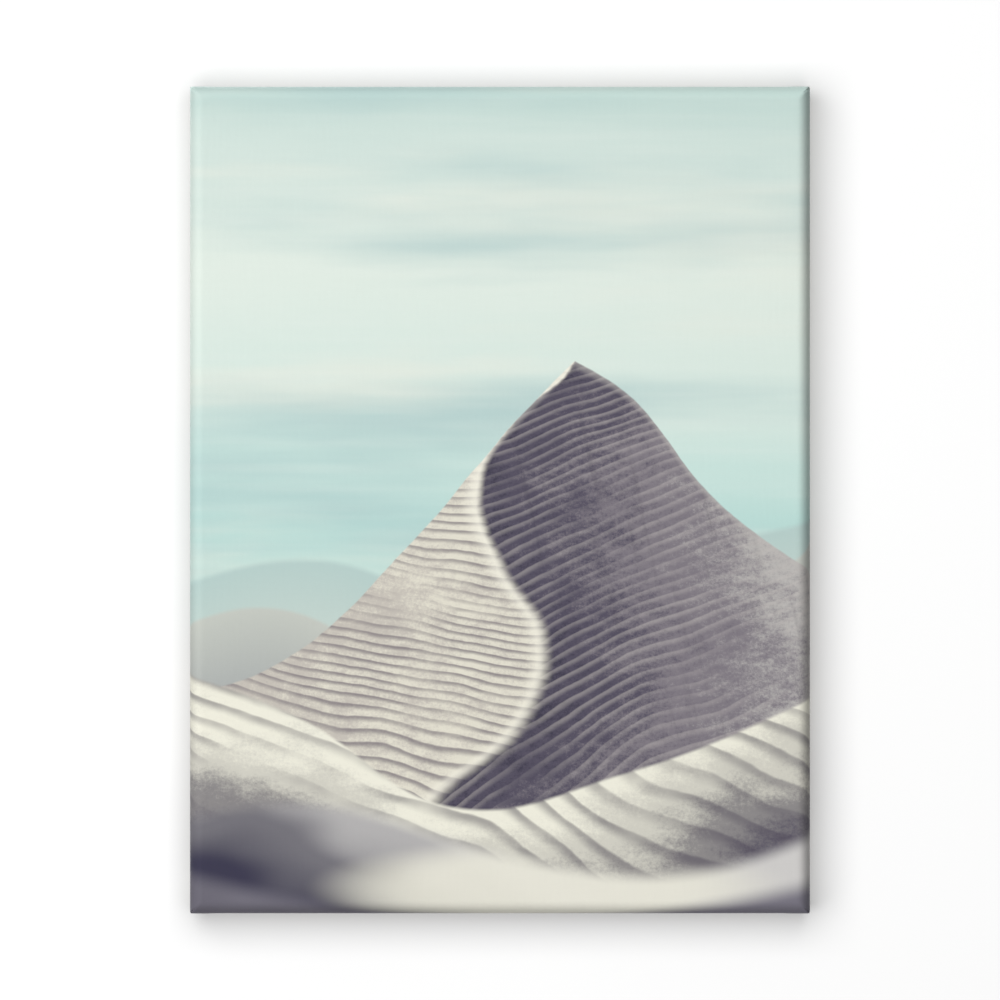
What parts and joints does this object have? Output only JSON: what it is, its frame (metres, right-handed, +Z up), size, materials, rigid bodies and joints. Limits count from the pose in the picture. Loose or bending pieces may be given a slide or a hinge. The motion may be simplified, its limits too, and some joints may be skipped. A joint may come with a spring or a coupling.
{
  "type": "stretched canvas print",
  "caption": "Portrait wall print: printed canvas wrapped round mitred wooden stretcher bars with rounded front edges, stapled behind and hung by a sawtooth hanger.",
  "frame": {"origin": "where the sawtooth hanger's middle notch bears on the wall nail, half way through the hanger's plate, 31 mm below the print's top edge", "axes": "+X to the right as seen from the front, +Y back towards the wall, +Z up; the printed face looks along -Y"},
  "size_m": [0.3, 0.0223, 0.4],
  "materials": {
    "printed_canvas": "matte printed cotton canvas, white on its back",
    "pine": "planed, untreated",
    "galvanised_wire": "galvanised",
    "pressed_steel": "bright zinc plated"
  },
  "bodies": {
    "root": {"canvas": "printed_canvas", "hanger_nail_left": "galvanised_wire", "hanger_nail_right": "galvanised_wire", "joint_staple_1": "galvanised_wire", "joint_staple_2": "galvanised_wire", "joint_staple_3": "galvanised_wire", "joint_staple_4": "galvanised_wire", "sawtooth_hanger": "pressed_steel", "staple_bottom_1": "galvanised_wire", "staple_bottom_2": "galvanised_wire", "staple_bottom_3": "galvanised_wire", "staple_bottom_4": "galvanised_wire", "staple_bottom_5": "galvanised_wire", "staple_fold_1": "galvanised_wire", "staple_fold_2": "galvanised_wire", "staple_fold_3": "galvanised_wire", "staple_fold_4": "galvanised_wire", "staple_left_1": "galvanised_wire", "staple_left_2": "galvanised_wire", "staple_left_3": "galvanised_wire", "staple_left_4": "galvanised_wire", "staple_left_5": "galvanised_wire", "staple_left_6": "galvanised_wire", "staple_right_1": "galvanised_wire", "staple_right_2": "galvanised_wire", "staple_right_3": "galvanised_wire", "staple_right_4": "galvanised_wire", "staple_right_5": "galvanised_wire", "staple_right_6": "galvanised_wire", "staple_top_1": "galvanised_wire", "staple_top_2": "galvanised_wire", "staple_top_3": "galvanised_wire", "staple_top_4": "galvanised_wire", "staple_top_5": "galvanised_wire", "stretcher_bar_bottom": "pine", "stretcher_bar_left": "pine", "stretcher_bar_right": "pine", "stretcher_bar_top": "pine"}
  },
  "joints": []
}
